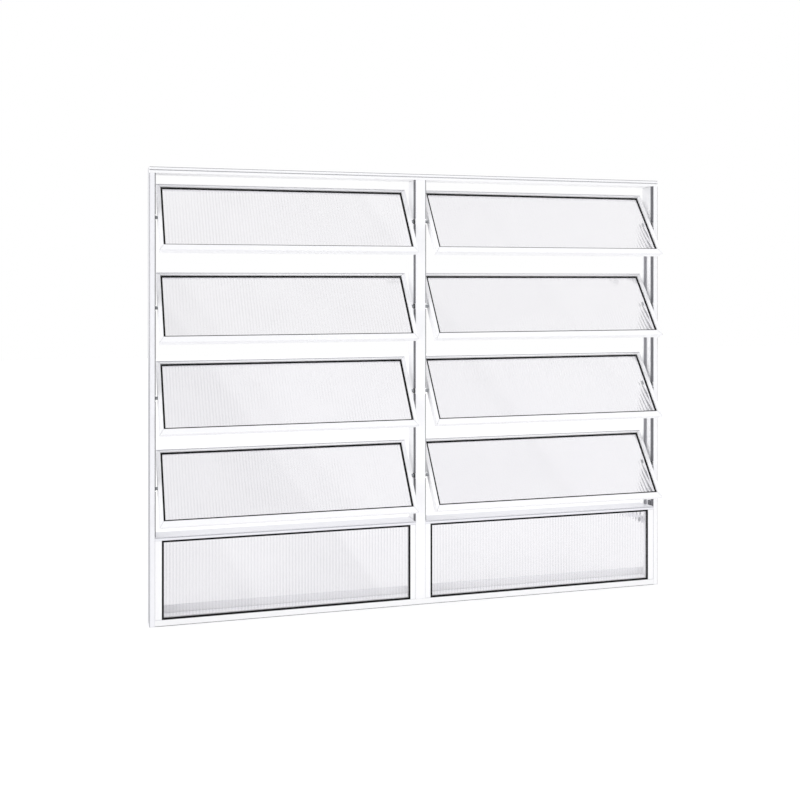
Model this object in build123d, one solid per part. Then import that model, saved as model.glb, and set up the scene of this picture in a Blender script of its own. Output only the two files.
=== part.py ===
"""Horizontal pivot window: a white aluminium frame in two bays, each with four pivoting sashes over a fixed light.

Units are millimetres. X runs along the width, +Z is up, and -Y is outdoors. The origin is the middle of the
sill's underside. The sashes are drawn as they stand when half open, with the top in and the bottom out.
"""

from build123d import *
from math import atan2, cos, degrees, hypot, radians, sin
import os

# Overall size of the frame
WIDTH = 1000.0
HEIGHT = 812.0
DEPTH = 46.0
WALL = 1.5

# Faces of the frame members, as seen from outdoors
JAMB_FACE = 9.4
MULLION_FACE = 19.0
HEAD_FACE = 11.0
SILL_FACE = 11.2
TRANSOM_TOP = 158.0
TRANSOM_FACE = 6.4
TRANSOM_DEPTH = 43.0
HEAD_GROOVE_DROP = 4.6
GROOVE_WIDTH = 1.6
GROOVE_DEEP = 1.3
GROOVE_EDGE = 0.8
EDGE_CHAMFER = 1.0

# Sashes
SASHES = 4
CLEARANCE = 5.0
SIDE_GAP_JAMB = 5.5
SIDE_GAP_MULLION = 8.0
STILE_FACE = 7.0
TOP_RAIL_FACE = 5.0
BOTTOM_RAIL_FACE = 12.0
OPENING_ABOVE_PIVOT = 68.3
OPENING_BELOW_PIVOT = 67.8
SASH_FRONT = 8.0
SASH_BACK = 7.0
BOTTOM_BODY = 7.0
DRIP_THICKNESS = 2.5
REBATE_LIP = 1.5
REBATE_LIP_THICKNESS = 2.0
REBATE_TO_BACK = 6.0
MITRE_GAP = 0.3
MITRE_DEEP = 0.6
REST_TILT = 37.5

# Glass and gaskets
GLASS_THICKNESS = 4.0
GASKET_FACE = 3.6
GASKET_LIP = 1.0
GASKET_HEEL = 1.5
GLASS_BITE = 2.0

# Fixed lights
BEAD_FACE_JAMB = 12.2
BEAD_FACE_MULLION = 10.3
BEAD_SET_BACK = 0.6
BEAD_DEPTH = 14.0
BEAD_WALL = 1.4
FIXED_GASKET_SET_BACK = 1.0
FIN_HEIGHT = 4.0
FIN_THICKNESS = 1.5
UPSTAND_HEIGHT = 14.0

# Pivots
PIVOT_SET_BACK = 9.0
SHAFT_RADIUS = 3.0
SHAFT_CLEARANCE = 0.08
SHAFT_SEAT = 4.0
SEAT_CLEARANCE = 0.1
BUSH_RADIUS = 5.0
BUSH_FLANGE = 1.5

# Side seals
SEAL_THICKNESS = 1.6
SEAL_WIDTH = 8.5
SEAL_SET_BACK = 1.0
SEAL_TO_BUSH = 0.5
SEAL_BLOCK_WIDTH = 8.5
SEAL_BLOCK_HEIGHT = 9.0
SEAL_BLOCK_THICKNESS = 3.0
SEAL_BLOCK_GAP = 0.5

# Operating bar, its lugs and its lever
CRANK = 23.0
LUG_WIDTH = 8.0
LUG_THICKNESS = 4.0
BAR_WIDTH = 7.0
BAR_THICKNESS = 2.0
BAR_TO_JAMB = 0.7
BAR_PIN_RADIUS = 1.5
BAR_PIN_CLEARANCE = 0.08
BAR_END = 5.0
LEVER_SET_BACK = 41.0
LEVER_HEIGHT = 124.0
FOOT_RISE = 24.0
LEVER_LENGTH = 66.0
LEVER_DROOP = 5.0
LEVER_BOW = 2.0
LEVER_HUB_RADIUS = 7.0
LEVER_BODY = 8.0
LEVER_THICKNESS = 5.0
LEVER_GRIP_LENGTH = 26.0
LEVER_GRIP_THICKNESS = 9.0
LEVER_PIN_RADIUS = 2.5
LEVER_PIN_HEAD_RADIUS = 4.5
LEVER_PIN_HEAD = 1.5
LEVER_TO_BAR = 1.4
NOTCH_PLAY = 1.0
NOTCH_SIDE = 5.0

# Places that follow from the sizes above
front = -DEPTH / 2
jamb_inner = WIDTH / 2 - JAMB_FACE
mullion_edge = MULLION_FACE / 2
head_bottom = HEIGHT - HEAD_FACE
transom_bottom = TRANSOM_TOP - TRANSOM_FACE
sash_top = OPENING_ABOVE_PIVOT + TOP_RAIL_FACE
sash_bottom = OPENING_BELOW_PIVOT + BOTTOM_RAIL_FACE
pivot_y = front + PIVOT_SET_BACK
first_pivot = head_bottom - CLEARANCE - sash_top
last_pivot = TRANSOM_TOP + CLEARANCE + sash_bottom
pitch = (first_pivot - last_pivot) / (SASHES - 1)
pivots = [first_pivot - row * pitch for row in range(SASHES)]
sash_inner = mullion_edge + SIDE_GAP_MULLION
sash_outer = jamb_inner - SIDE_GAP_JAMB
bar_outer = jamb_inner - BAR_TO_JAMB
bar_inner = bar_outer - BAR_THICKNESS
bar_y = pivot_y + CRANK
lever_y = front + LEVER_SET_BACK
foot_y = lever_y + CRANK


def block(x0, x1, y0, y1, z0, z1):
    """A box between two corners."""
    return Pos((x0 + x1) / 2, (y0 + y1) / 2, (z0 + z1) / 2) * Box(x1 - x0, y1 - y0, z1 - z0)


def rod_x(x0, x1, y, z, radius):
    """A round bar along X."""
    return Pos((x0 + x1) / 2, y, z) * Rot(0, 90, 0) * Cylinder(radius, x1 - x0)


def mirror_x(shape):
    """The same piece in the left bay."""
    return mirror(shape, about=Plane.YZ)


def tube(x0, x1, y0, y1, z0, z1, along):
    """An extruded box section with open ends."""
    inner = {
        "x": (x0, x1, y0 + WALL, y1 - WALL, z0 + WALL, z1 - WALL),
        "z": (x0 + WALL, x1 - WALL, y0 + WALL, y1 - WALL, z0, z1),
    }[along]
    return block(x0, x1, y0, y1, z0, z1) - block(*inner)


def tilted(shape, row):
    """Turns a sash that was drawn closed about its pivot, and sets it at its place in the frame."""
    return Pos(0, pivot_y, pivots[row]) * Rot(-REST_TILT, 0, 0) * shape


def save(name, *shapes):
    """Writes one named piece."""
    export_step(Compound(children=list(shapes)) if len(shapes) > 1 else shapes[0], f"parts/{name}.step")


def eased(body, along, across, place):
    """Chamfers a member's front and back edges that run along one axis and lie at a place on another."""
    near = EDGE_CHAMFER / 2
    edges = body.edges().filter_by(along).filter_by_position(across, place - near, place + near)
    outer = edges.filter_by_position(Axis.Y, front - near, front + near)
    outer += edges.filter_by_position(Axis.Y, -front - near, -front + near)
    return chamfer(outer, length=EDGE_CHAMFER)


def jamb():
    """The right jamb, with its holes for the pivots."""
    body = tube(jamb_inner, WIDTH / 2, front, -front, 0, head_bottom, "z")
    body = eased(body, Axis.Z, Axis.X, WIDTH / 2)
    for z in pivots:
        body -= rod_x(jamb_inner - WALL, jamb_inner + 2 * WALL, pivot_y, z, SHAFT_RADIUS + BUSH_FLANGE)
    return body


def groove(x0, x1, y_face, top):
    """What is cut away for a groove along X in a face at y_face."""
    return block(x0, x1, y_face, y_face + GROOVE_DEEP, top - GROOVE_WIDTH, top)


def head():
    """The head over the two jambs, closed at its ends, with the groove that runs along its face."""
    half = WIDTH / 2
    body = block(-half, half, front, -front, head_bottom, HEIGHT)
    body = eased(body, Axis.Z, Axis.X, half)
    body = eased(body, Axis.Z, Axis.X, -half)
    body = eased(body, Axis.X, Axis.Z, HEIGHT)
    body -= block(WALL - half, half - WALL, front + WALL, -front - WALL, head_bottom + WALL, HEIGHT - WALL)
    return body - groove(-half, half, front, HEIGHT - HEAD_GROOVE_DROP)


def fin_y():
    """Front and back of the fins that the fixed glass leans on."""
    start = front + FIXED_GASKET_SET_BACK + GLASS_THICKNESS + 2 * GASKET_LIP
    return start, start + FIN_THICKNESS


def sill():
    """The sill, with a fin behind each fixed light and an upstand along its inner edge."""
    body = tube(-jamb_inner, jamb_inner, front, -front, 0, SILL_FACE, "x")
    body = eased(body, Axis.X, Axis.Z, 0)
    fin = block(*fixed_opening_x(), *fin_y(), SILL_FACE, SILL_FACE + FIN_HEIGHT)
    upstand = block(mullion_edge, jamb_inner, -front - WALL, -front, SILL_FACE, SILL_FACE + UPSTAND_HEIGHT)
    return body + fin + mirror_x(fin) + upstand + mirror_x(upstand)


def mullion():
    """The mullion between sill and head, bored for the shafts that join a row's two sashes."""
    body = tube(-mullion_edge, mullion_edge, front, -front, SILL_FACE, head_bottom, "z")
    for z in pivots:
        body -= rod_x(-mullion_edge - WALL, mullion_edge + WALL, pivot_y, z, SHAFT_RADIUS + BUSH_FLANGE)
    return body


def transom():
    """The right bay's transom, with a groove under its front edge and a fin behind the fixed light."""
    back = front + TRANSOM_DEPTH
    body = tube(mullion_edge, jamb_inner, front, back, transom_bottom, TRANSOM_TOP, "x")
    body -= groove(mullion_edge, jamb_inner, front, TRANSOM_TOP - GROOVE_EDGE)
    return body + block(*fixed_opening_x(), *fin_y(), transom_bottom - FIN_HEIGHT, transom_bottom)


def bar_notch():
    """The corner that is cut out of the right transom where the operating bar passes."""
    reach = CRANK * (1 - cos(radians(REST_TILT)))
    notch_front = bar_y - BAR_WIDTH / 2 - reach - 2 * NOTCH_PLAY
    return block(
        bar_inner - NOTCH_SIDE, jamb_inner, notch_front, front + TRANSOM_DEPTH, transom_bottom, TRANSOM_TOP
    )


def fixed_opening_x():
    """Left and right edge of the right bay's fixed glass opening."""
    return mullion_edge + BEAD_FACE_MULLION, jamb_inner - BEAD_FACE_JAMB


def bead(x0, x1, fin_x0, fin_x1):
    """A glazing bead: a channel that opens to the back, with a fin behind the glass."""
    y0 = front + BEAD_SET_BACK
    y1 = y0 + BEAD_DEPTH
    body = block(x0, x1, y0, y1, SILL_FACE, transom_bottom)
    body -= block(x0 + BEAD_WALL, x1 - BEAD_WALL, y0 + BEAD_WALL, y1, SILL_FACE, transom_bottom)
    return body + block(fin_x0, fin_x1, *fin_y(), SILL_FACE + FIN_HEIGHT, transom_bottom - FIN_HEIGHT)


def beads():
    """The two beads of the right bay's fixed light."""
    left, right = fixed_opening_x()
    return (
        bead(mullion_edge, left, left, left + FIN_HEIGHT),
        bead(right, jamb_inner, right - FIN_HEIGHT, right),
    )


def glazing(x0, x1, y_front, z0, z1):
    """A pane and the gasket round its edge, in an opening whose gasket face lies at y_front."""
    inset = GASKET_FACE - GLASS_BITE
    pane_front = y_front + GASKET_LIP
    pane_back = pane_front + GLASS_THICKNESS
    pane = block(x0 + inset, x1 - inset, pane_front, pane_back, z0 + inset, z1 - inset)
    face = GASKET_FACE
    heel = GASKET_HEEL
    y_back = pane_back + GASKET_LIP
    ring = block(x0, x1, y_front, y_back, z0, z1)
    ring -= block(x0 + face, x1 - face, y_front, pane_back, z0 + face, z1 - face)
    ring -= block(x0 + heel, x1 - heel, pane_back, y_back, z0 + heel, z1 - heel)
    return pane, ring - pane


def mitres(x0, x1):
    """The fine joints across the four corners of a sash frame, in its face."""
    corners = (
        (x0, sash_top, x0 + STILE_FACE, OPENING_ABOVE_PIVOT),
        (x1, sash_top, x1 - STILE_FACE, OPENING_ABOVE_PIVOT),
        (x0, -sash_bottom, x0 + STILE_FACE, -OPENING_BELOW_PIVOT),
        (x1, -sash_bottom, x1 - STILE_FACE, -OPENING_BELOW_PIVOT),
    )
    cuts = []
    for x_out, z_out, x_in, z_in in corners:
        run = x_in - x_out
        rise = z_in - z_out
        length = 1.2 * hypot(run, rise)
        slot = Box(length, 2 * MITRE_DEEP, MITRE_GAP)
        middle = Pos((x_out + x_in) / 2, -SASH_FRONT, (z_out + z_in) / 2)
        cuts.append(middle * Rot(0, -degrees(atan2(rise, run)), 0) * slot)
    return cuts


def sash_frame():
    """The right bay's sash frame, drawn closed, with its pivot on the origin."""
    x0 = sash_inner
    x1 = sash_outer
    bottom_body = OPENING_BELOW_PIVOT + BOTTOM_BODY
    frame = block(x0, x1, -SASH_FRONT, SASH_BACK, -bottom_body, sash_top)
    frame += block(x0, x1, -SASH_FRONT, DRIP_THICKNESS - SASH_FRONT, -sash_bottom, -bottom_body)
    open_x0 = x0 + STILE_FACE
    open_x1 = x1 - STILE_FACE
    lip_y = SASH_BACK - REBATE_TO_BACK
    lip_back = lip_y + REBATE_LIP_THICKNESS
    frame -= block(open_x0, open_x1, -SASH_FRONT, lip_y, -OPENING_BELOW_PIVOT, OPENING_ABOVE_PIVOT)
    frame -= block(open_x0, open_x1, lip_back, SASH_BACK, -OPENING_BELOW_PIVOT, OPENING_ABOVE_PIVOT)
    frame -= block(
        open_x0 + REBATE_LIP,
        open_x1 - REBATE_LIP,
        lip_y,
        lip_back,
        REBATE_LIP - OPENING_BELOW_PIVOT,
        OPENING_ABOVE_PIVOT - REBATE_LIP,
    )
    for start, stop in ((x0, x0 + SHAFT_SEAT), (x1 - SHAFT_SEAT, x1)):
        frame -= rod_x(start, stop, 0, 0, SHAFT_RADIUS + SEAT_CLEARANCE)
    frame -= groove(x0, x1, -SASH_FRONT, sash_top - GROOVE_EDGE)
    for cut in mitres(x0, x1):
        frame -= cut
    return frame


def sash_glazing():
    """The pane and gasket of the right bay's sash, drawn closed."""
    lip_y = SASH_BACK - REBATE_TO_BACK
    y_front = lip_y - GLASS_THICKNESS - 2 * GASKET_LIP
    return glazing(
        sash_inner + STILE_FACE,
        sash_outer - STILE_FACE,
        y_front,
        -OPENING_BELOW_PIVOT,
        OPENING_ABOVE_PIVOT,
    )


def shafts(row):
    """The shaft through the mullion and the two stubs at the jambs."""
    z = pivots[row]
    reach = sash_inner + SHAFT_SEAT
    centre = rod_x(-reach, reach, pivot_y, z, SHAFT_RADIUS)
    stub = rod_x(sash_outer - SHAFT_SEAT, jamb_inner + WALL, pivot_y, z, SHAFT_RADIUS)
    return centre, stub, mirror_x(stub)


def bush(x_face, outward):
    """A flanged bush in a frame wall whose face lies at x_face and looks along outward."""
    wall = x_face - outward * WALL
    lip = x_face + outward * BUSH_FLANGE
    flange = rod_x(min(x_face, lip), max(x_face, lip), 0, 0, BUSH_RADIUS)
    sleeve = rod_x(min(x_face, wall), max(x_face, wall), 0, 0, SHAFT_RADIUS + BUSH_FLANGE)
    bore = rod_x(min(lip, wall), max(lip, wall), 0, 0, SHAFT_RADIUS + SHAFT_CLEARANCE)
    return flange + sleeve - bore


def bushes():
    """All the bushes that the shafts turn in."""
    set_right = [bush(jamb_inner, -1), bush(mullion_edge, 1)]
    whole = set_right + [mirror_x(piece) for piece in set_right]
    return [Pos(0, pivot_y, z) * piece for z in pivots for piece in whole]


def seal(x0, x1):
    """The lengths of side seal between transom and head, which stop short of each bush."""
    y0 = front + SEAL_SET_BACK
    gap = BUSH_RADIUS + SEAL_TO_BUSH
    stops = [z + side * gap for z in pivots for side in (1, -1)]
    ends = [head_bottom] + stops + [TRANSOM_TOP]
    return [
        block(x0, x1, y0, y0 + SEAL_WIDTH, low, high) for high, low in zip(ends[::2], ends[1::2])
    ]


def seals():
    """The side seals of jambs and mullion, and the block at the foot of the right jamb's seal."""
    right = seal(jamb_inner - SEAL_THICKNESS, jamb_inner) + seal(mullion_edge, mullion_edge + SEAL_THICKNESS)
    block_y = front + SEAL_SET_BACK + SEAL_WIDTH + SEAL_BLOCK_GAP
    foot = block(
        jamb_inner - SEAL_BLOCK_THICKNESS,
        jamb_inner,
        block_y,
        block_y + SEAL_BLOCK_WIDTH,
        TRANSOM_TOP,
        TRANSOM_TOP + SEAL_BLOCK_HEIGHT,
    )
    return right + [mirror_x(piece) for piece in right] + [foot]


def lug():
    """The lug on a sash's outer stile that carries the bar's pin, drawn closed."""
    pin_y = CRANK * cos(radians(REST_TILT))
    pin_z = CRANK * sin(radians(REST_TILT))
    x0 = sash_outer - LUG_THICKNESS
    outline = Plane.YZ * Pos(CRANK / 2, 0) * SlotCenterToCenter(CRANK, LUG_WIDTH)
    arm = Pos(x0, 0, 0) * Rot(REST_TILT, 0, 0) * extrude(outline, LUG_THICKNESS)
    reach = CRANK + LUG_WIDTH
    arm -= block(x0, sash_outer, -reach, SASH_BACK, -reach, reach)
    return arm + rod_x(x0, bar_outer, pin_y, pin_z, BAR_PIN_RADIUS)


def bar():
    """The flat bar that ties the sashes together, with its foot over the lever."""
    half = BAR_WIDTH / 2
    top = pivots[0] + BAR_END
    turn = LEVER_HEIGHT + FOOT_RISE
    with BuildSketch(Plane.YZ) as outline:
        with BuildLine():
            Polyline(
                (bar_y - half, top),
                (bar_y - half, turn - half),
                (foot_y - half, turn - half),
                (foot_y - half, LEVER_HEIGHT - BAR_END),
                (foot_y + half, LEVER_HEIGHT - BAR_END),
                (foot_y + half, turn + half),
                (bar_y + half, turn + half),
                (bar_y + half, top),
                close=True,
            )
        make_face()
        fillet(outline.vertices(), half / 2)
        holes = [(bar_y, z) for z in pivots] + [(foot_y, LEVER_HEIGHT)]
        with Locations(*holes):
            Circle(BAR_PIN_RADIUS + BAR_PIN_CLEARANCE, mode=Mode.SUBTRACT)
    return Pos(bar_inner, 0, 0) * extrude(outline.sketch, BAR_THICKNESS)


def lever():
    """The hand lever: a bowed arm with a hub, a pin for the bar and a thicker grip."""
    x1 = bar_inner - LEVER_TO_BAR
    x0 = x1 - LEVER_THICKNESS
    path = ThreePointArc((0, 0), (LEVER_LENGTH / 2, LEVER_BOW), (LEVER_LENGTH, -LEVER_DROOP))
    with BuildSketch(Plane.YZ) as side:
        SlotArc(path, LEVER_BODY)
        Circle(LEVER_HUB_RADIUS)
        Circle(LEVER_PIN_RADIUS + SHAFT_CLEARANCE, mode=Mode.SUBTRACT)
    arm = extrude(side.sketch, LEVER_THICKNESS)
    with BuildSketch(Plane.YZ) as grip_side:
        SlotArc(path, LEVER_BODY)
        with Locations((LEVER_LENGTH / 2 - LEVER_GRIP_LENGTH / 2 - LEVER_BODY, 0)):
            Rectangle(LEVER_LENGTH, 4 * LEVER_BODY, mode=Mode.SUBTRACT)
    side_step = (LEVER_GRIP_THICKNESS - LEVER_THICKNESS) / 2
    grip = Pos(-side_step, 0, 0) * extrude(grip_side.sketch, LEVER_GRIP_THICKNESS)
    body = Pos(x0, lever_y, LEVER_HEIGHT) * (arm + grip)
    return body + rod_x(x0, bar_outer, foot_y, LEVER_HEIGHT, BAR_PIN_RADIUS)


def lever_pin():
    """The headed pin in the right jamb that the lever turns on."""
    lever_x0 = bar_inner - LEVER_TO_BAR - LEVER_THICKNESS
    head_x1 = lever_x0 - SHAFT_CLEARANCE
    shank = rod_x(head_x1, jamb_inner, lever_y, LEVER_HEIGHT, LEVER_PIN_RADIUS)
    return shank + rod_x(head_x1 - LEVER_PIN_HEAD, head_x1, lever_y, LEVER_HEIGHT, LEVER_PIN_HEAD_RADIUS)


def write_frame():
    """Writes the fixed frame and its glazing."""
    save("right_jamb", jamb())
    save("left_jamb", mirror_x(jamb()))
    save("head_rail", head())
    save("sill_rail", sill())
    save("mullion", mullion())
    save("right_transom", transom() - bar_notch())
    save("left_transom", mirror_x(transom()))
    pair = beads()
    save("fixed_light_beads", *pair, *[mirror_x(piece) for piece in pair])
    pane, gasket = glazing(
        *fixed_opening_x(), front + FIXED_GASKET_SET_BACK, SILL_FACE, transom_bottom
    )
    save("right_fixed_glass", pane)
    save("left_fixed_glass", mirror_x(pane))
    save("fixed_light_gaskets", gasket, mirror_x(gasket))
    save("side_seals", *seals())
    save("pivot_bushes", *bushes())


def write_sashes():
    """Writes each row's two sashes with their shafts and lug."""
    frame = sash_frame()
    pane, gasket = sash_glazing()
    arm = lug()
    for row in range(SASHES):
        number = row + 1
        save(f"right_sash_{number}", tilted(frame, row))
        save(f"left_sash_{number}", tilted(mirror_x(frame), row))
        save(f"right_glass_{number}", tilted(pane, row))
        save(f"left_glass_{number}", tilted(mirror_x(pane), row))
        save(f"row_{number}_gaskets", tilted(gasket, row), tilted(mirror_x(gasket), row))
        save(f"row_{number}_shafts", *shafts(row))
        save(f"row_{number}_lug", tilted(arm, row))


def write_control():
    """Writes the operating bar and its lever."""
    save("operating_bar", bar())
    save("lever", lever())
    save("lever_pin", lever_pin())


if __name__ == "__main__":
    os.makedirs("parts", exist_ok=True)
    write_frame()
    write_sashes()
    write_control()
    print("pivots", [round(z, 2) for z in pivots], "pitch", round(pitch, 2))
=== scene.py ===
"""Looks of a white horizontal pivot window.

Reeded panes, a powder-coated frame, black rubber and a soft white studio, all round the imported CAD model.
"""

import logging
import math
from dataclasses import dataclass
from enum import Enum
from typing import Any, Dict, List, Optional, Sequence, Tuple

import bmesh
import bpy
from mathutils import Matrix, Vector


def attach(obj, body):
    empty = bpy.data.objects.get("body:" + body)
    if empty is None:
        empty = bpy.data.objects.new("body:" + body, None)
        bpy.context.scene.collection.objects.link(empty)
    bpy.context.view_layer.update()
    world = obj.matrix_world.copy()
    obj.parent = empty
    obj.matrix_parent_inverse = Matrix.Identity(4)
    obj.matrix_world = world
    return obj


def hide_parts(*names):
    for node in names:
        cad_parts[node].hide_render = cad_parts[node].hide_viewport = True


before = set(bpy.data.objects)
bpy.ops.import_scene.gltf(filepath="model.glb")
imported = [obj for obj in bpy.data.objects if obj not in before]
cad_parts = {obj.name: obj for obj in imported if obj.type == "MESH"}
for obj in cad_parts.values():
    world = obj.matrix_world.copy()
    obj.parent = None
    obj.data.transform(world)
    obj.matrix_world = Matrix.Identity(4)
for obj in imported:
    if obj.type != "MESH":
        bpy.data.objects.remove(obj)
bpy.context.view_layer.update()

log = logging.getLogger("pivot_window")

MM = 0.001
ROWS = (1, 2, 3, 4)
REST_TILT = math.radians(37.5)
SASH_RIB_MM = 5.5
FIXED_RIB_MM = 5.8
WHITE = (1.0, 1.0, 1.0, 1.0)

Triple = Tuple[float, float, float]
NOWHERE: Triple = (0.0, 0.0, 0.0)

# Cosines between a face and the easing over its edge, from no painted edge shade to full painted edge shade.
EDGE_COSINES = (0.99, 0.85)
# Cosines between a face and a direction, from turned away to turned that way, for painted shade on turned
# sides.
TURNED_COSINES = (0.8, 0.97)


class Side(Enum):
    """The two bays of the window."""

    LEFT = "left"
    RIGHT = "right"


def linear(hex_colour: str) -> Tuple[float, float, float, float]:
    """Turns an sRGB hex colour into linear light.

    Args:
        hex_colour: The colour as "#RRGGBB".

    Returns:
        Red, green, blue and an alpha of one.
    """
    channels = [int(hex_colour[i : i + 2], 16) / 255 for i in (1, 3, 5)]
    bent = [c / 12.92 if c <= 0.04045 else ((c + 0.055) / 1.055) ** 2.4 for c in channels]
    return bent[0], bent[1], bent[2], 1.0


def per_metre(feature_mm: float) -> float:
    """Gives a texture scale whose features are that many millimetres wide."""
    return 1.0 / (feature_mm * MM)


def add_node(
    tree: bpy.types.NodeTree,
    kind: str,
    settings: Optional[Dict[str, Any]] = None,
    inputs: Optional[Dict[Any, Any]] = None,
) -> bpy.types.Node:
    """Adds one node with its settings, values and links.

    Args:
        tree: The tree that the node joins.
        kind: The node's type name.
        settings: Properties of the node itself.
        inputs: A value or another node's output for each named or numbered input.

    Returns:
        The new node.
    """
    node = tree.nodes.new(kind)
    for name, value in (settings or {}).items():
        setattr(node, name, value)
    for key, value in (inputs or {}).items():
        if isinstance(value, bpy.types.NodeSocket):
            tree.links.new(value, node.inputs[key])
        else:
            node.inputs[key].default_value = value
    return node


def new_material(name: str) -> Tuple[bpy.types.Material, bpy.types.NodeTree]:
    """Starts an empty node material.

    Args:
        name: The material's name.

    Returns:
        The material and its node tree.
    """
    material = bpy.data.materials.new(name)
    material.use_nodes = True
    material.node_tree.nodes.clear()
    return material, material.node_tree


def finish_material(tree: bpy.types.NodeTree, shader: bpy.types.NodeSocket) -> None:
    """Wires a shader to the material's output."""
    add_node(tree, "ShaderNodeOutputMaterial", inputs={"Surface": shader})


def reflected_ray(tree: bpy.types.NodeTree) -> bpy.types.NodeSocket:
    """Tells the reflections in outer faces from all that is seen through the panes.

    Args:
        tree: The node tree that needs it.

    Returns:
        A socket that is one for a reflected ray that has not gone through glass.
    """
    ray = add_node(tree, "ShaderNodeLightPath")
    return add_node(
        tree,
        "ShaderNodeMath",
        {"operation": "SUBTRACT", "use_clamp": True},
        {0: ray.outputs["Is Glossy Ray"], 1: ray.outputs["Is Transmission Ray"]},
    ).outputs[0]


def kept_out_of_panes(tree: bpy.types.NodeTree, shader: bpy.types.NodeSocket) -> bpy.types.NodeSocket:
    """Leaves a surface out of the panes' reflections, which show nothing but the studio.

    Args:
        tree: The material's tree.
        shader: The surface.

    Returns:
        A socket with the surface that other rays meet.
    """
    clear = add_node(tree, "ShaderNodeBsdfTransparent")
    return add_node(
        tree, "ShaderNodeMixShader", inputs={0: reflected_ray(tree), 1: shader, 2: clear.outputs["BSDF"]}
    ).outputs[0]


@dataclass(frozen=True)
class PowderCoat:
    """Polyester powder coat baked on aluminium: an even satin skin with a faint orange peel.

    The peel softens highlights. Painted shade greys the coat in crevices and over sharp edges, most of all on
    the frame's outer arris, and on a side turned a given way. This draws the outline.
    """

    name: str
    colour: str = "#FAFAFB"
    shade: str = "#F8F8FA"
    roughness: float = 0.36
    ior: float = 1.5
    # Real orange peel is 1 to 2 mm wide. It is drawn coarser, so that it shows.
    peel_mm: float = 4.0
    peel_depth_mm: float = 0.05
    peel_strength: float = 0.15
    cloud_mm: float = 160.0
    # Painted shade in crevices: within this distance of other faces the coat greys toward the crevice colour.
    crevice_shade_mm: float = 1.6
    crevice_shade: str = "#A4A4AA"
    # Painted shade over edges: the coat greys toward the edge colour this far round an edge.
    edge_shade_mm: float = 0.7
    edge: str = "#C0C0C3"
    # Painted shade on the side that faces this way.
    shaded_side: Triple = NOWHERE
    shaded_side_tone: str = "#CACACE"
    # Painted shade on the outer arris that faces this way.
    arris: Triple = NOWHERE
    arris_shade: str = "#8A8A90"

    def with_painted_shade(self, tree: bpy.types.NodeTree, coat: bpy.types.NodeSocket) -> bpy.types.NodeSocket:
        """Paints shade into the coat over edges, on a side turned a given way and on the outer arris.

        Args:
            tree: The material's tree.
            coat: The coat's colour.

        Returns:
            A socket with the colour that is seen.
        """
        flat = add_node(tree, "ShaderNodeNewGeometry").outputs["True Normal"]
        eased = add_node(tree, "ShaderNodeBevel", {"samples": 4}, {"Radius": self.edge_shade_mm * MM})
        level = add_node(
            tree, "ShaderNodeVectorMath", {"operation": "DOT_PRODUCT"}, {0: flat, 1: eased.outputs["Normal"]}
        )
        edge_shade_amount = add_node(
            tree,
            "ShaderNodeMapRange",
            inputs={
                "Value": level.outputs["Value"],
                "From Min": EDGE_COSINES[0],
                "From Max": EDGE_COSINES[1],
            },
        )
        seen = add_node(
            tree,
            "ShaderNodeMix",
            {"data_type": "RGBA"},
            {"Factor": edge_shade_amount.outputs["Result"], 6: coat, 7: linear(self.edge)},
        ).outputs[2]
        sides = ((flat, self.shaded_side, self.shaded_side_tone), (eased.outputs["Normal"], self.arris, self.arris_shade))
        for normal, way, grey in sides:
            facing = add_node(
                tree, "ShaderNodeVectorMath", {"operation": "DOT_PRODUCT"}, {0: normal, 1: way}
            )
            turned = add_node(
                tree,
                "ShaderNodeMapRange",
                inputs={
                    "Value": facing.outputs["Value"],
                    "From Min": TURNED_COSINES[0],
                    "From Max": TURNED_COSINES[1],
                },
            )
            seen = add_node(
                tree,
                "ShaderNodeMix",
                {"data_type": "RGBA"},
                {"Factor": turned.outputs["Result"], 6: seen, 7: linear(grey)},
            ).outputs[2]
        return seen

    def build(self) -> bpy.types.Material:
        """Builds the finish's material.

        Returns:
            The material.
        """
        material, tree = new_material(self.name)
        place = add_node(tree, "ShaderNodeTexCoord").outputs["Object"]
        cloud = add_node(
            tree,
            "ShaderNodeTexNoise",
            inputs={"Vector": place, "Scale": per_metre(self.cloud_mm), "Detail": 2.0},
        )
        tone = add_node(
            tree,
            "ShaderNodeMix",
            {"data_type": "RGBA"},
            {"Factor": cloud.outputs["Fac"], 6: linear(self.colour), 7: linear(self.shade)},
        )
        # Painted shade: ambient occlusion greys the coat in crevices.
        corner = add_node(
            tree, "ShaderNodeAmbientOcclusion", {"samples": 8}, {"Distance": self.crevice_shade_mm * MM}
        )
        crevice_shaded = add_node(
            tree,
            "ShaderNodeMix",
            {"data_type": "RGBA"},
            {"Factor": corner.outputs["AO"], 6: linear(self.crevice_shade), 7: tone.outputs[2]},
        )
        peel = add_node(
            tree,
            "ShaderNodeTexNoise",
            inputs={"Vector": place, "Scale": per_metre(self.peel_mm), "Detail": 1.0},
        )
        bump = add_node(
            tree,
            "ShaderNodeBump",
            inputs={
                "Height": peel.outputs["Fac"],
                "Strength": self.peel_strength,
                "Distance": self.peel_depth_mm * MM,
            },
        )
        skin = add_node(
            tree,
            "ShaderNodeBsdfPrincipled",
            inputs={
                "Base Color": self.with_painted_shade(tree, crevice_shaded.outputs[2]),
                "Roughness": self.roughness,
                "IOR": self.ior,
                "Normal": bump.outputs["Normal"],
            },
        )
        finish_material(tree, kept_out_of_panes(tree, skin.outputs["BSDF"]))
        return material


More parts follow.
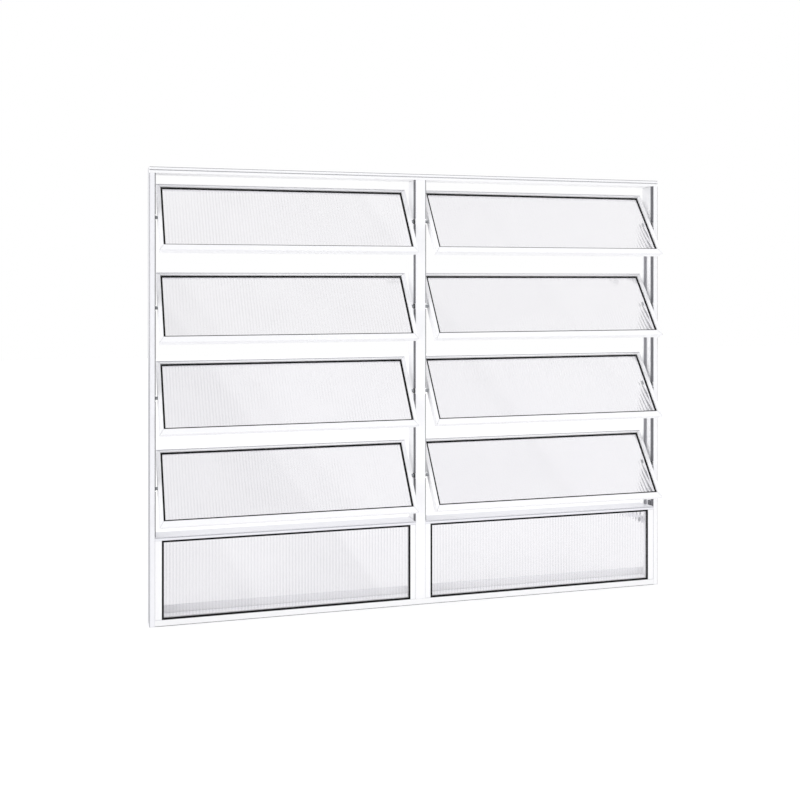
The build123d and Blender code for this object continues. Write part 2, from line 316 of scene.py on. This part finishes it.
@dataclass(frozen=True)
class ReededGlass:
    """Cast soda-lime glass, flat outside and reeded inside: a pale pane with fine upright lines.

    The lines are painted shade along the grooves, and they come and go in soft patches. The flat outer face
    mirrors the studio like a second, clear skin.
    """

    name: str
    tint: str = "#F8F7FA"
    groove_shade: str = "#ECEBEE"
    roughness: float = 0.05
    ior: float = 1.52
    skin_ior: float = 1.6
    rib_mm: float = SASH_RIB_MM
    # How far the painted shade of a groove reaches into a rib, as a share of the rib.
    groove_reach: float = 0.4
    patch_mm: float = 90.0
    patch_span: Tuple[float, float] = (0.35, 0.7)
    patch_least: float = 0.4

    def build(self) -> bpy.types.Material:
        """Builds the finish's material.

        Returns:
            The material.
        """
        material, tree = new_material(self.name)
        place = add_node(tree, "ShaderNodeTexCoord").outputs["Object"]
        across = add_node(tree, "ShaderNodeSeparateXYZ", inputs={"Vector": place}).outputs["X"]
        ribs = add_node(
            tree, "ShaderNodeMath", {"operation": "MULTIPLY"}, {0: across, 1: per_metre(self.rib_mm)}
        )
        swing = add_node(tree, "ShaderNodeMath", {"operation": "PINGPONG"}, {0: ribs.outputs[0], 1: 0.5})
        # Painted shade: the grooves are tinted greyer than the crowns of the ribs, for the lines that the
        # ribs' bending of light makes.
        groove = add_node(
            tree,
            "ShaderNodeMapRange",
            {"interpolation_type": "SMOOTHSTEP"},
            {"Value": swing.outputs[0], "From Min": self.groove_reach, "From Max": 0.0},
        )
        patch = add_node(
            tree,
            "ShaderNodeTexNoise",
            inputs={"Vector": place, "Scale": per_metre(self.patch_mm), "Detail": 2.0},
        )
        uneven = add_node(
            tree,
            "ShaderNodeMapRange",
            inputs={
                "Value": patch.outputs["Fac"],
                "From Min": self.patch_span[0],
                "From Max": self.patch_span[1],
                "To Min": self.patch_least,
            },
        )
        line = add_node(
            tree,
            "ShaderNodeMath",
            {"operation": "MULTIPLY"},
            {0: groove.outputs["Result"], 1: uneven.outputs["Result"]},
        )
        tone = add_node(
            tree,
            "ShaderNodeMix",
            {"data_type": "RGBA"},
            {"Factor": line.outputs[0], 6: linear(self.tint), 7: linear(self.groove_shade)},
        )
        pane = add_node(
            tree,
            "ShaderNodeBsdfPrincipled",
            inputs={
                "Base Color": tone.outputs[2],
                "Roughness": self.roughness,
                "IOR": self.ior,
                "Transmission Weight": 1.0,
                "Coat Weight": 1.0,
                "Coat Roughness": 0.0,
                "Coat IOR": self.skin_ior,
            },
        )
        through = add_node(tree, "ShaderNodeBsdfTransparent", inputs={"Color": WHITE})
        ray = add_node(tree, "ShaderNodeLightPath")
        lit = add_node(
            tree,
            "ShaderNodeMath",
            {"operation": "MAXIMUM"},
            {0: ray.outputs["Is Shadow Ray"], 1: ray.outputs["Is Diffuse Ray"]},
        )
        straight = add_node(
            tree, "ShaderNodeMath", {"operation": "MAXIMUM"}, {0: lit.outputs[0], 1: reflected_ray(tree)}
        )
        mixed = add_node(
            tree,
            "ShaderNodeMixShader",
            inputs={0: straight.outputs[0], 1: pane.outputs["BSDF"], 2: through.outputs["BSDF"]},
        )
        finish_material(tree, mixed.outputs["Shader"])
        return material


@dataclass(frozen=True)
class Rubber:
    """Extruded EPDM: a soft black whose fine drag marks keep it from looking like paint."""

    name: str
    colour: str = "#0B0B0D"
    worn: str = "#151518"
    roughness: float = 0.55
    ior: float = 1.52
    gloss: float = 0.2
    # Real drag marks are far finer. They are drawn coarser, so that they show.
    grain_mm: float = 1.5
    grain_depth_mm: float = 0.05
    grain_strength: float = 0.25

    def build(self) -> bpy.types.Material:
        """Builds the finish's material.

        Returns:
            The material.
        """
        material, tree = new_material(self.name)
        place = add_node(tree, "ShaderNodeTexCoord").outputs["Object"]
        grain = add_node(
            tree,
            "ShaderNodeTexNoise",
            inputs={"Vector": place, "Scale": per_metre(self.grain_mm), "Detail": 3.0},
        )
        tone = add_node(
            tree,
            "ShaderNodeMix",
            {"data_type": "RGBA"},
            {"Factor": grain.outputs["Fac"], 6: linear(self.colour), 7: linear(self.worn)},
        )
        bump = add_node(
            tree,
            "ShaderNodeBump",
            inputs={
                "Height": grain.outputs["Fac"],
                "Strength": self.grain_strength,
                "Distance": self.grain_depth_mm * MM,
            },
        )
        skin = add_node(
            tree,
            "ShaderNodeBsdfPrincipled",
            inputs={
                "Base Color": tone.outputs[2],
                "Roughness": self.roughness,
                "IOR": self.ior,
                "Specular IOR Level": self.gloss,
                "Normal": bump.outputs["Normal"],
            },
        )
        finish_material(tree, kept_out_of_panes(tree, skin.outputs["BSDF"]))
        return material


@dataclass(frozen=True)
class PlatedSteel:
    """Zinc-plated steel rod: a cool bright metal, with turning marks round it that blur its reflections."""

    name: str = "zinc_plated_steel"
    colour: str = "#B9BCC0"
    dull: str = "#8F9297"
    roughness: float = 0.32
    # Real turning marks are a tenth of this. They are drawn coarser, and long round the rod.
    mark_mm: float = 0.8
    mark_stretch: Triple = (1.0, 0.1, 0.1)

    def build(self) -> bpy.types.Material:
        """Builds the finish's material.

        Returns:
            The material.
        """
        material, tree = new_material(self.name)
        place = add_node(tree, "ShaderNodeTexCoord").outputs["Object"]
        drawn = add_node(tree, "ShaderNodeMapping", inputs={"Vector": place, "Scale": self.mark_stretch})
        marks = add_node(
            tree,
            "ShaderNodeTexNoise",
            inputs={"Vector": drawn.outputs["Vector"], "Scale": per_metre(self.mark_mm), "Detail": 2.0},
        )
        tone = add_node(
            tree,
            "ShaderNodeMix",
            {"data_type": "RGBA"},
            {"Factor": marks.outputs["Fac"], 6: linear(self.colour), 7: linear(self.dull)},
        )
        skin = add_node(
            tree,
            "ShaderNodeBsdfPrincipled",
            inputs={"Base Color": tone.outputs[2], "Roughness": self.roughness, "Metallic": 1.0},
        )
        finish_material(tree, skin.outputs["BSDF"])
        return material


@dataclass(frozen=True)
class AnodisedBar:
    """Grey anodised aluminium flat bar: drawing lines run along it under a dull sheen."""

    name: str = "grey_anodised_bar"
    colour: str = "#8E8E93"
    bright: str = "#A2A2A8"
    roughness: float = 0.42
    metallic: float = 0.6
    # Real drawing lines are a tenth of this wide. They are drawn coarser, and long down the bar.
    line_mm: float = 0.9
    line_stretch: Triple = (1.0, 1.0, 0.02)

    def build(self) -> bpy.types.Material:
        """Builds the finish's material.

        Returns:
            The material.
        """
        material, tree = new_material(self.name)
        place = add_node(tree, "ShaderNodeTexCoord").outputs["Object"]
        drawn = add_node(tree, "ShaderNodeMapping", inputs={"Vector": place, "Scale": self.line_stretch})
        lines = add_node(
            tree,
            "ShaderNodeTexNoise",
            inputs={"Vector": drawn.outputs["Vector"], "Scale": per_metre(self.line_mm), "Detail": 2.0},
        )
        tone = add_node(
            tree,
            "ShaderNodeMix",
            {"data_type": "RGBA"},
            {"Factor": lines.outputs["Fac"], 6: linear(self.colour), 7: linear(self.bright)},
        )
        skin = add_node(
            tree,
            "ShaderNodeBsdfPrincipled",
            inputs={"Base Color": tone.outputs[2], "Roughness": self.roughness, "Metallic": self.metallic},
        )
        finish_material(tree, skin.outputs["BSDF"])
        return material


@dataclass(frozen=True)
class MouldedNylon:
    """Injection-moulded nylon: a dark waxy plastic with a fine spark-eroded texture."""

    name: str = "moulded_nylon"
    colour: str = "#1B1B1E"
    light: str = "#29292D"
    roughness: float = 0.48
    ior: float = 1.53
    # A real spark-eroded texture is a tenth of this. It is drawn coarser, so that it shows.
    texture_mm: float = 1.0

    def build(self) -> bpy.types.Material:
        """Builds the finish's material.

        Returns:
            The material.
        """
        material, tree = new_material(self.name)
        place = add_node(tree, "ShaderNodeTexCoord").outputs["Object"]
        texture = add_node(
            tree,
            "ShaderNodeTexVoronoi",
            inputs={"Vector": place, "Scale": per_metre(self.texture_mm)},
        )
        tone = add_node(
            tree,
            "ShaderNodeMix",
            {"data_type": "RGBA"},
            {"Factor": texture.outputs["Distance"], 6: linear(self.colour), 7: linear(self.light)},
        )
        skin = add_node(
            tree,
            "ShaderNodeBsdfPrincipled",
            inputs={"Base Color": tone.outputs[2], "Roughness": self.roughness, "IOR": self.ior},
        )
        finish_material(tree, skin.outputs["BSDF"])
        return material


def dress(node: str, material: bpy.types.Material) -> None:
    """Gives every material slot of a CAD node one finish.

    Args:
        node: The CAD node's name.
        material: The finish that it gets.
    """
    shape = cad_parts[node]
    if not shape.material_slots:
        shape.data.materials.append(material)
    for place in shape.material_slots:
        place.material = material
    log.info("dressed %s in %s", node, material.name)


@dataclass
class ReededPane:
    """One pane of reeded glass: flat outside, with upright convex ribs on its indoor face."""

    node: str
    body: str
    tilt: float
    finish: bpy.types.Material
    rib_mm: float
    rib_depth_mm: float = 0.34
    steps: int = 6
    sharp_degrees: float = 12.0

    def turn(self) -> Matrix:
        """Returns the turn from the pane's own upright frame to its place in the window."""
        return Matrix.Rotation(-self.tilt, 4, "X")

    def upright_box(self) -> Tuple[Vector, Vector]:
        """Measures the CAD pane in its own upright frame.

        Returns:
            The lowest and the highest corner.
        """
        back = self.turn().inverted()
        points = [back @ v.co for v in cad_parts[self.node].data.vertices]
        low = Vector(tuple(min(p[i] for p in points) for i in range(3)))
        high = Vector(tuple(max(p[i] for p in points) for i in range(3)))
        return low, high

    def columns(self, left: float, right: float) -> List[float]:
        """Lists where the pane's columns of vertices stand.

        Args:
            left: The pane's left edge.
            right: The pane's right edge.

        Returns:
            The places along X, with the ribs' grooves on whole multiples of the rib width.
        """
        step = self.rib_mm * MM / self.steps
        first = math.floor(left / step) + 1
        last = math.ceil(right / step) - 1
        return [left] + [step * n for n in range(first, last + 1)] + [right]

    def build(self) -> bpy.types.Object:
        """Builds the pane in place of the CAD pane.

        Returns:
            The new object.
        """
        low, high = self.upright_box()
        columns = self.columns(low.x, high.x)
        bm = bmesh.new()
        bmesh.ops.create_grid(bm, x_segments=len(columns) - 1, y_segments=1, size=0.5)
        for vert in bm.verts:
            place = round((vert.co.x + 0.5) * (len(columns) - 1))
            tall = high.z if vert.co.y > 0 else low.z
            vert.co = Vector((columns[place], low.y, tall))
        grown = bmesh.ops.extrude_face_region(bm, geom=bm.faces[:])
        inner = [item for item in grown["geom"] if isinstance(item, bmesh.types.BMVert)]
        bmesh.ops.translate(bm, vec=(0.0, high.y - low.y, 0.0), verts=inner)
        for vert in inner:
            along = vert.co.x / (self.rib_mm * MM)
            across = 2.0 * abs(along - round(along))
            vert.co.y -= self.rib_depth_mm * MM * (1.0 - across) ** 2
        bmesh.ops.transform(bm, matrix=self.turn(), verts=bm.verts)
        bmesh.ops.recalc_face_normals(bm, faces=bm.faces[:])
        for face in bm.faces:
            face.smooth = True
        mesh = bpy.data.meshes.new(f"{self.node}_reeded")
        bm.to_mesh(mesh)
        bm.free()
        mesh.set_sharp_from_angle(angle=math.radians(self.sharp_degrees))
        pane = bpy.data.objects.new(f"{self.node}_reeded", mesh)
        bpy.context.collection.objects.link(pane)
        pane.data.materials.append(self.finish)
        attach(pane, self.body)
        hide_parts(self.node)
        log.info("%s: %d columns", pane.name, len(columns))
        return pane


@dataclass
class Frame:
    """The fixed frame: jambs, head, sill, mullion, transoms, beads and their rubber."""

    inner: PowderCoat = PowderCoat("frame_powder_coat")
    # The left jamb's coat is greyer than the inner coat, painted shade where the light falls off to the left.
    # Its left-facing side and outer arris get painted shade too.
    left: PowderCoat = PowderCoat(
        "left_jamb_shaded_coat",
        colour="#F3F3F6",
        shade="#F1F1F5",
        shaded_side=(-1.0, 0.0, 0.0),
        arris=(-0.7071, -0.7071, 0.0),
        arris_shade="#A4A4AA",
    )
    # The right jamb's coat is a touch greyer, and its outer arris gets a dark painted shade line.
    right: PowderCoat = PowderCoat(
        "right_jamb_coat", colour="#F8F8F9", arris=(0.7071, -0.7071, 0.0), arris_shade="#3C3C40"
    )
    # The head gets deep painted shade in its crevices, under its lower lip, and painted shade on its
    # left-facing end and its top outer arris.
    top: PowderCoat = PowderCoat(
        "head_coat",
        crevice_shade="#7A7A82",
        crevice_shade_mm=2.2,
        edge="#FBFBFC",
        shaded_side=(-1.0, 0.0, 0.0),
        arris=(0.0, -0.7071, 0.7071),
    )
    # The sill's lower outer arris gets a dark painted shadow line where it stands on the floor.
    foot: PowderCoat = PowderCoat(
        "sill_coat",
        colour="#F7F7F8",
        shade="#F5F5F6",
        crevice_shade="#B4B4B4",
        edge="#DCDCE2",
        arris=(0.0, -0.7071, -0.7071),
        arris_shade="#55555A",
    )
    # The transoms' coat is greyer than the inner coat: painted shade from the sashes above.
    cross: PowderCoat = PowderCoat("transom_shaded_coat", colour="#EFEFF4", shade="#ECECF1")
    gasket: Rubber = Rubber("glazing_gasket_epdm")
    seal: Rubber = Rubber("side_seal_epdm", colour="#6A6A6E", worn="#78787D", roughness=0.62)
    bush: MouldedNylon = MouldedNylon()
    glass: ReededGlass = ReededGlass(
        "fixed_reeded_glass", tint="#F2F1F4", groove_shade="#E4E3E7", rib_mm=FIXED_RIB_MM
    )

    def build(self, steel: bpy.types.Material) -> List[bpy.types.Object]:
        """Dresses the fixed members and builds the two fixed panes.

        Args:
            steel: The lever pin's finish.

        Returns:
            The two fixed panes.
        """
        inner = self.inner.build()
        dress("mullion", inner)
        dress("fixed_light_beads", inner)
        dress("left_jamb", self.left.build())
        dress("right_jamb", self.right.build())
        dress("head_rail", self.top.build())
        dress("sill_rail", self.foot.build())
        cross = self.cross.build()
        dress("left_transom", cross)
        dress("right_transom", cross)
        dress("fixed_light_gaskets", self.gasket.build())
        dress("side_seals", self.seal.build())
        dress("pivot_bushes", self.bush.build())
        dress("lever_pin", steel)
        glass = self.glass.build()
        return [
            ReededPane(f"{side.value}_fixed_glass", "frame", 0.0, glass, self.glass.rib_mm).build()
            for side in Side
        ]


@dataclass
class SashRow:
    """One row: two sashes on a shared shaft, with their panes, gaskets and the lug that the bar turns."""

    number: int
    tilt: float = REST_TILT
    rib_mm: float = SASH_RIB_MM

    def build(
        self,
        coats: Dict[Side, bpy.types.Material],
        glass: Dict[Side, bpy.types.Material],
        gasket: bpy.types.Material,
        steel: bpy.types.Material,
    ) -> List[bpy.types.Object]:
        """Dresses the row and builds its two panes.

        Args:
            coats: The sash frames' finish in each bay.
            glass: The panes' finish in each bay.
            gasket: The gaskets' finish.
            steel: The shafts' and the lug's finish.

        Returns:
            The two panes.
        """
        n = self.number
        for side in Side:
            dress(f"{side.value}_sash_{n}", coats[side])
        dress(f"row_{n}_gaskets", gasket)
        dress(f"row_{n}_shafts", steel)
        dress(f"row_{n}_lug", steel)
        return [
            ReededPane(f"{side.value}_glass_{n}", f"row_{n}", self.tilt, glass[side], self.rib_mm).build()
            for side in Side
        ]


@dataclass
class Control:
    """The operating bar and the hand lever."""

    bar: AnodisedBar = AnodisedBar()
    lever: PowderCoat = PowderCoat("lever_enamel", colour="#EFEFF2", shade="#E9E9ED", roughness=0.3)

    def build(self) -> None:
        """Dresses the bar and the lever."""
        dress("operating_bar", self.bar.build())
        dress("lever", self.lever.build())


@dataclass(frozen=True)
class FlagEdge:
    """One straight edge of the dark flags round the set, which only the panes' reflections show."""

    normal: Triple
    drop: float
    offset: float = 0.0
    softness: float = 0.004


# Strength of the white set in the reflections, before the flags dim it.
GLARE = 1.2
# Which way the planes through the flags' edges face. Each plane draws one diagonal line over the panes.
FIRST_FLAG: Triple = (-0.8165, -0.5686, -0.1002)
SECOND_FLAG: Triple = (-0.7996, -0.5942, -0.0874)
THIRD_FLAG: Triple = (-0.7812, -0.6184, 0.0859)
FOURTH_FLAG: Triple = (-0.7348, -0.6597, 0.1575)
LOW_FLAG: Triple = (-0.8154, -0.0548, -0.5763)
LOW_STRIP: Triple = (-0.8468, 0.0208, -0.5315)
# The tilted sashes mirror what is overhead, and the upright fixed lights mirror what lies on the floor.
OVERHEAD_FLAGS = (
    FlagEdge(FIRST_FLAG, 0.5),
    FlagEdge(FIRST_FLAG, -0.2, 0.06, 0.06),
    FlagEdge(SECOND_FLAG, 0.36, -0.0025, 0.005),
    FlagEdge(SECOND_FLAG, -0.1, 0.01, 0.005),
    FlagEdge(THIRD_FLAG, 0.4, -0.004, 0.005),
    FlagEdge(THIRD_FLAG, -0.22, 0.008, 0.005),
    FlagEdge(FOURTH_FLAG, 0.2),
    FlagEdge(FOURTH_FLAG, -0.14, 0.008, 0.005),
)
FLOOR_FLAGS = (
    FlagEdge(LOW_FLAG, 0.6),
    FlagEdge(LOW_FLAG, -0.35, 0.04, 0.04),
    FlagEdge(LOW_STRIP, 0.35, softness=0.006),
)


def flagged(
    tree: bpy.types.NodeTree, direction: bpy.types.NodeSocket, edges: Sequence[FlagEdge]
) -> bpy.types.NodeSocket:
    """Dims a white surround behind the flags' edges.

    Args:
        tree: The node tree that needs it.
        direction: The direction that is looked in.
        edges: The edges, each of which dims its own side.

    Returns:
        A socket with the strength that is left.
    """
    left: Any = GLARE
    for edge in edges:
        side = add_node(
            tree, "ShaderNodeVectorMath", {"operation": "DOT_PRODUCT"}, {0: direction, 1: edge.normal}
        )
        dimmed = add_node(
            tree,
            "ShaderNodeMapRange",
            {"interpolation_type": "SMOOTHSTEP"},
            {
                "Value": side.outputs["Value"],
                "From Min": edge.offset - edge.softness,
                "From Max": edge.offset + edge.softness,
                "To Max": edge.drop,
            },
        )
        left = add_node(
            tree, "ShaderNodeMath", {"operation": "SUBTRACT"}, {0: left, 1: dimmed.outputs["Result"]}
        ).outputs[0]
    return left


@dataclass
class Studio:
    """A white set, a soft lamp and the photograph's camera."""

    camera_place: Triple = (-0.6212, -2.0153, 0.6083)
    camera_yaw: float = 16.25
    lens: float = 49.774
    shift_y: float = -0.1474
    ambient: float = 0.87
    overhead: float = 0.16
    sideways: float = 0.9
    # How fast the overhead and sideways light falls off from its own direction.
    lobe_power: float = 2.0
    ambient_colour: str = "#FEFEFF"
    floor_size: float = 14.0
    floor_colour: str = "#E6E6E6"
    # The floor's own glow, and what is added to it through glass and in direct sight.
    floor_glow: float = 0.25
    floor_through: float = -0.05
    floor_seen: float = 0.04
    key_place: Triple = (0.2, -2.2, 0.7)
    key_aim: Triple = (0.04, 0.0, 0.25)
    key_radius: float = 0.5
    key_beam: float = 40.0
    key_watts: float = 17.0

    def camera(self) -> None:
        """Sets the camera where the photograph was taken from."""
        data = bpy.data.cameras.new("photo_camera")
        data.lens = self.lens
        data.sensor_width = 36.0
        data.shift_y = self.shift_y
        eye = bpy.data.objects.new("photo_camera", data)
        eye.location = self.camera_place
        eye.rotation_euler = (math.radians(90), 0.0, math.radians(-self.camera_yaw))
        bpy.context.collection.objects.link(eye)
        bpy.context.scene.camera = eye

    def seen(self, tree: bpy.types.NodeTree) -> bpy.types.NodeSocket:
        """Tells direct sight, gloss and glass from the light that falls on the object.

        Args:
            tree: The node tree that needs it.

        Returns:
            A socket that is one for camera, glossy and transmission rays.
        """
        ray = add_node(tree, "ShaderNodeLightPath")
        gloss = add_node(
            tree,
            "ShaderNodeMath",
            {"operation": "MAXIMUM"},
            {0: ray.outputs["Is Glossy Ray"], 1: ray.outputs["Is Transmission Ray"]},
        )
        both = add_node(
            tree,
            "ShaderNodeMath",
            {"operation": "MAXIMUM"},
            {0: ray.outputs["Is Camera Ray"], 1: gloss.outputs[0]},
        )
        return both.outputs[0]

    def surround(self, tree: bpy.types.NodeTree) -> bpy.types.NodeSocket:
        """Gives the surround's strength in each direction: more from overhead and from the left.

        Args:
            tree: The world's node tree.

        Returns:
            A socket with the strength.
        """
        look = add_node(tree, "ShaderNodeTexCoord").outputs["Generated"]
        parts = add_node(tree, "ShaderNodeSeparateXYZ", inputs={"Vector": look})
        left = add_node(tree, "ShaderNodeMath", {"operation": "MULTIPLY"}, {0: parts.outputs["X"], 1: -1.0})
        total: Any = self.ambient
        for along, gain in ((parts.outputs["Z"], self.overhead), (left.outputs[0], self.sideways)):
            ahead = add_node(tree, "ShaderNodeMath", {"operation": "MAXIMUM"}, {0: along, 1: 0.0})
            lobe = add_node(
                tree, "ShaderNodeMath", {"operation": "POWER"}, {0: ahead.outputs[0], 1: self.lobe_power}
            )
            total = add_node(
                tree, "ShaderNodeMath", {"operation": "MULTIPLY_ADD"}, {0: lobe.outputs[0], 1: gain, 2: total}
            ).outputs[0]
        return total

    def world(self) -> None:
        """Makes a white surround that lights the object only softly."""
        world = bpy.data.worlds.new("white_studio")
        world.use_nodes = True
        tree = world.node_tree
        tree.nodes.clear()
        soft = add_node(
            tree,
            "ShaderNodeBackground",
            inputs={"Color": linear(self.ambient_colour), "Strength": self.surround(tree)},
        )
        white = add_node(tree, "ShaderNodeBackground", inputs={"Color": WHITE, "Strength": 1.0})
        seen = add_node(
            tree,
            "ShaderNodeMixShader",
            inputs={0: self.seen(tree), 1: soft.outputs[0], 2: white.outputs[0]},
        )
        look = add_node(tree, "ShaderNodeTexCoord").outputs["Generated"]
        flags = add_node(
            tree,
            "ShaderNodeBackground",
            inputs={"Color": WHITE, "Strength": flagged(tree, look, OVERHEAD_FLAGS)},
        )
        mixed = add_node(
            tree,
            "ShaderNodeMixShader",
            inputs={0: reflected_ray(tree), 1: seen.outputs[0], 2: flags.outputs[0]},
        )
        add_node(tree, "ShaderNodeOutputWorld", inputs={"Surface": mixed.outputs[0]})
        bpy.context.scene.world = world

    def floor(self) -> None:
        """Lays a pale floor that reads as white and keeps a faint shadow."""
        bm = bmesh.new()
        bmesh.ops.create_grid(bm, x_segments=1, y_segments=1, size=self.floor_size / 2)
        mesh = bpy.data.meshes.new("studio_floor")
        bm.to_mesh(mesh)
        bm.free()
        floor = bpy.data.objects.new("studio_floor", mesh)
        bpy.context.collection.objects.link(floor)
        material, tree = new_material("matt_white_floor")
        matt = add_node(tree, "ShaderNodeBsdfDiffuse", inputs={"Color": linear(self.floor_colour)})
        ray = add_node(tree, "ShaderNodeLightPath")
        lift: Any = self.floor_glow
        for kind, level in (("Is Transmission Ray", self.floor_through), ("Is Camera Ray", self.floor_seen)):
            lift = add_node(
                tree,
                "ShaderNodeMath",
                {"operation": "MULTIPLY_ADD"},
                {0: ray.outputs[kind], 1: level, 2: lift},
            ).outputs[0]
        glow = add_node(tree, "ShaderNodeEmission", inputs={"Strength": lift})
        both = add_node(
            tree, "ShaderNodeAddShader", inputs={0: matt.outputs["BSDF"], 1: glow.outputs["Emission"]}
        )
        back = add_node(tree, "ShaderNodeNewGeometry").outputs["Incoming"]
        look = add_node(
            tree, "ShaderNodeVectorMath", {"operation": "SCALE"}, {0: back, "Scale": -1.0}
        ).outputs[0]
        flags = add_node(
            tree, "ShaderNodeEmission", inputs={"Strength": flagged(tree, look, FLOOR_FLAGS)}
        )
        seen = add_node(
            tree,
            "ShaderNodeMixShader",
            inputs={0: reflected_ray(tree), 1: both.outputs["Shader"], 2: flags.outputs["Emission"]},
        )
        finish_material(tree, seen.outputs["Shader"])
        floor.data.materials.append(material)

    def key(self) -> None:
        """Adds the key, a soft round lamp at the right whose beam fades out toward the left jamb."""
        data = bpy.data.lights.new("key_lamp", "SPOT")
        data.shadow_soft_size = self.key_radius
        data.energy = self.key_watts
        data.spot_size = math.radians(self.key_beam)
        data.spot_blend = 1.0
        lamp = bpy.data.objects.new("key_lamp", data)
        lamp.location = self.key_place
        aim = Vector(self.key_aim) - Vector(self.key_place)
        lamp.rotation_euler = aim.to_track_quat("-Z", "Y").to_euler()
        bpy.context.collection.objects.link(lamp)

    def build(self) -> None:
        """Builds the whole studio."""
        self.camera()
        self.world()
        self.floor()
        self.key()
        view = bpy.context.scene.view_settings
        view.view_transform = "Standard"


def main() -> None:
    """Builds the window's looks in order."""
    logging.basicConfig(level=logging.INFO, format="%(name)s: %(message)s")
    Studio().build()
    glass = {
        Side.LEFT: ReededGlass("left_reeded_glass", roughness=0.12).build(),
        Side.RIGHT: ReededGlass(
            "right_reeded_glass", tint="#F3F2F5", groove_shade="#ECEBEF", roughness=0.12
        ).build(),
    }
    steel = PlatedSteel().build()
    Frame().build(steel)
    coats = {
        # Both sash coats get a greyer painted shade over their edges.
        Side.LEFT: PowderCoat("left_sash_coat", colour="#F8F8FA", edge="#CDCDD3").build(),
        Side.RIGHT: PowderCoat("right_sash_coat", edge="#CDCDD3").build(),
    }
    gasket = Rubber("sash_gasket_epdm").build()
    for number in ROWS:
        SashRow(number).build(coats, glass, gasket, steel)
    Control().build()


if __name__ == "__main__":
    main()
